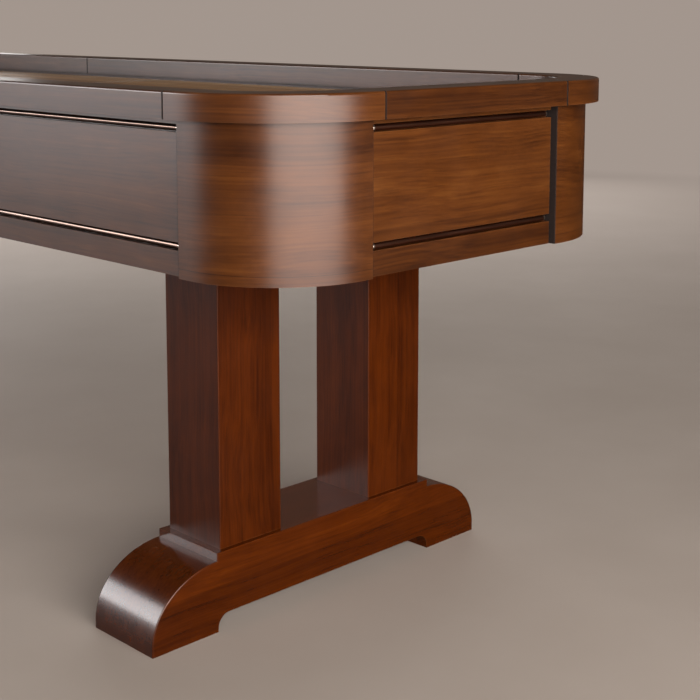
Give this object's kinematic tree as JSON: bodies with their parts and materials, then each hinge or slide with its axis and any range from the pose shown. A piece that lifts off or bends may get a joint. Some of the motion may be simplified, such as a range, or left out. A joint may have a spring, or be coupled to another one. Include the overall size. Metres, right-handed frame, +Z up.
{
  "type": "shuffleboard table",
  "caption": "Long shuffleboard table with rounded cabinet corners, a raised top rail, side gutters round a laminated playfield, and trestle pedestals with paired square posts.",
  "frame": {"origin": "on the floor under the middle of the cabinet", "axes": "+X along the table's length, +Y across its width, +Z up"},
  "size_m": [2.8, 0.762, 0.787],
  "materials": {
    "rail_wood": "dark cherry stain under satin-gloss lacquer",
    "column_wood": "dark cherry stain, horizontal grain, satin-gloss lacquer",
    "apron_wood": "dark cherry stain, satin-gloss lacquer",
    "post_wood": "cherry stain, upright grain, satin lacquer",
    "base_wood": "cherry stain, lengthwise grain, satin lacquer",
    "frame_wood": "planed softwood, unfinished",
    "plywood": "birch plywood, unfinished",
    "playfield_maple": "laminated maple strips under clear polymer gloss",
    "carpet": "short black cut-pile carpet",
    "rod_metal": "dark bronze, satin",
    "black_steel": "black powder coat",
    "zinc_steel": "zinc plated",
    "brass": "plain",
    "glide_plastic": "moulded nylon"
  },
  "bodies": {
    "table": {"corner_column_front_left": "column_wood", "corner_rail_front_left": "rail_wood", "side_rail_front_left": "rail_wood", "post_front_left": "post_wood", "corner_column_front_right": "column_wood", "corner_rail_front_right": "rail_wood", "side_rail_front_right": "rail_wood", "post_front_right": "post_wood", "corner_column_back_left": "column_wood", "corner_rail_back_left": "rail_wood", "side_rail_back_left": "rail_wood", "post_back_left": "post_wood", "corner_column_back_right": "column_wood", "corner_rail_back_right": "rail_wood", "side_rail_back_right": "rail_wood", "post_back_right": "post_wood", "end_rail_left": "rail_wood", "end_apron_left": "apron_wood", "accent_rods_left": "rod_metal", "mount_board_left": "frame_wood", "gutter_floor_left": "plywood", "adjuster_brackets_left": "black_steel", "trestle_base_left": "base_wood", "top_cleat_left": "frame_wood", "end_rail_right": "rail_wood", "end_apron_right": "apron_wood", "accent_rods_right": "rod_metal", "mount_board_right": "frame_wood", "gutter_floor_right": "plywood", "adjuster_brackets_right": "black_steel", "trestle_base_right": "base_wood", "top_cleat_right": "frame_wood", "side_apron_front": "apron_wood", "accent_rods_front": "rod_metal", "side_apron_back": "apron_wood", "accent_rods_back": "rod_metal", "cross_beam_left": "frame_wood", "cross_beam_middle": "frame_wood", "cross_beam_right": "frame_wood", "wall_ledgers": "frame_wood", "corner_braces": "frame_wood", "gutter_carpet": "carpet", "wall_lining": "carpet", "playfield_cradle": "frame_wood", "playfield_risers": "frame_wood", "playfield": "playfield_maple", "adjuster_fasteners": "zinc_steel", "tie_rods": "zinc_steel", "cabinet_bolts": "zinc_steel", "leveler_inserts": "brass"},
    "leveler_glide_front_left": {"leveler_glide_front_left": "glide_plastic"},
    "leveler_stem_front_left": {"leveler_stem_front_left": "zinc_steel"},
    "leveler_glide_front_right": {"leveler_glide_front_right": "glide_plastic"},
    "leveler_stem_front_right": {"leveler_stem_front_right": "zinc_steel"},
    "leveler_glide_back_left": {"leveler_glide_back_left": "glide_plastic"},
    "leveler_stem_back_left": {"leveler_stem_back_left": "zinc_steel"},
    "leveler_glide_back_right": {"leveler_glide_back_right": "glide_plastic"},
    "leveler_stem_back_right": {"leveler_stem_back_right": "zinc_steel"},
    "adjuster_sleeve_left": {"adjuster_sleeve_left": "zinc_steel"},
    "adjuster_sleeve_right": {"adjuster_sleeve_right": "zinc_steel"}
  },
  "joints": [
    {"name": "adjuster_turn_left", "type": "hinge", "parent": "table", "child": "adjuster_sleeve_left", "pos_m": [-0.31, 0, 0.677], "axis": [0, 1, 0], "range_deg": [-720, 720]},
    {"name": "adjuster_turn_right", "type": "hinge", "parent": "table", "child": "adjuster_sleeve_right", "pos_m": [0.31, 0, 0.677], "axis": [0, 1, 0], "range_deg": [-720, 720]},
    {"name": "leveler_travel_front_left", "type": "slide", "parent": "table", "child": "leveler_glide_front_left", "axis": [0, 0, -1], "range_m": [0, 0.015]},
    {"name": "leveler_turn_front_left", "type": "hinge", "parent": "leveler_glide_front_left", "child": "leveler_stem_front_left", "pos_m": [-1.0365, -0.281, 0.03], "axis": [0, 0, -1], "range_deg": [0, 3600]},
    {"name": "leveler_travel_front_right", "type": "slide", "parent": "table", "child": "leveler_glide_front_right", "axis": [0, 0, -1], "range_m": [0, 0.015]},
    {"name": "leveler_turn_front_right", "type": "hinge", "parent": "leveler_glide_front_right", "child": "leveler_stem_front_right", "pos_m": [1.0365, -0.281, 0.03], "axis": [0, 0, -1], "range_deg": [0, 3600]},
    {"name": "leveler_travel_back_left", "type": "slide", "parent": "table", "child": "leveler_glide_back_left", "axis": [0, 0, -1], "range_m": [0, 0.015]},
    {"name": "leveler_turn_back_left", "type": "hinge", "parent": "leveler_glide_back_left", "child": "leveler_stem_back_left", "pos_m": [-1.0365, 0.281, 0.03], "axis": [0, 0, -1], "range_deg": [0, 3600]},
    {"name": "leveler_travel_back_right", "type": "slide", "parent": "table", "child": "leveler_glide_back_right", "axis": [0, 0, -1], "range_m": [0, 0.015]},
    {"name": "leveler_turn_back_right", "type": "hinge", "parent": "leveler_glide_back_right", "child": "leveler_stem_back_right", "pos_m": [1.0365, 0.281, 0.03], "axis": [0, 0, -1], "range_deg": [0, 3600]}
  ],
  "couplings": [
    {"joint": "leveler_turn_front_left", "follows": "leveler_travel_front_left", "rad_per_m": 4188.8},
    {"joint": "leveler_turn_front_right", "follows": "leveler_travel_front_right", "rad_per_m": 4188.8},
    {"joint": "leveler_turn_back_left", "follows": "leveler_travel_back_left", "rad_per_m": 4188.8},
    {"joint": "leveler_turn_back_right", "follows": "leveler_travel_back_right", "rad_per_m": 4188.8}
  ]
}
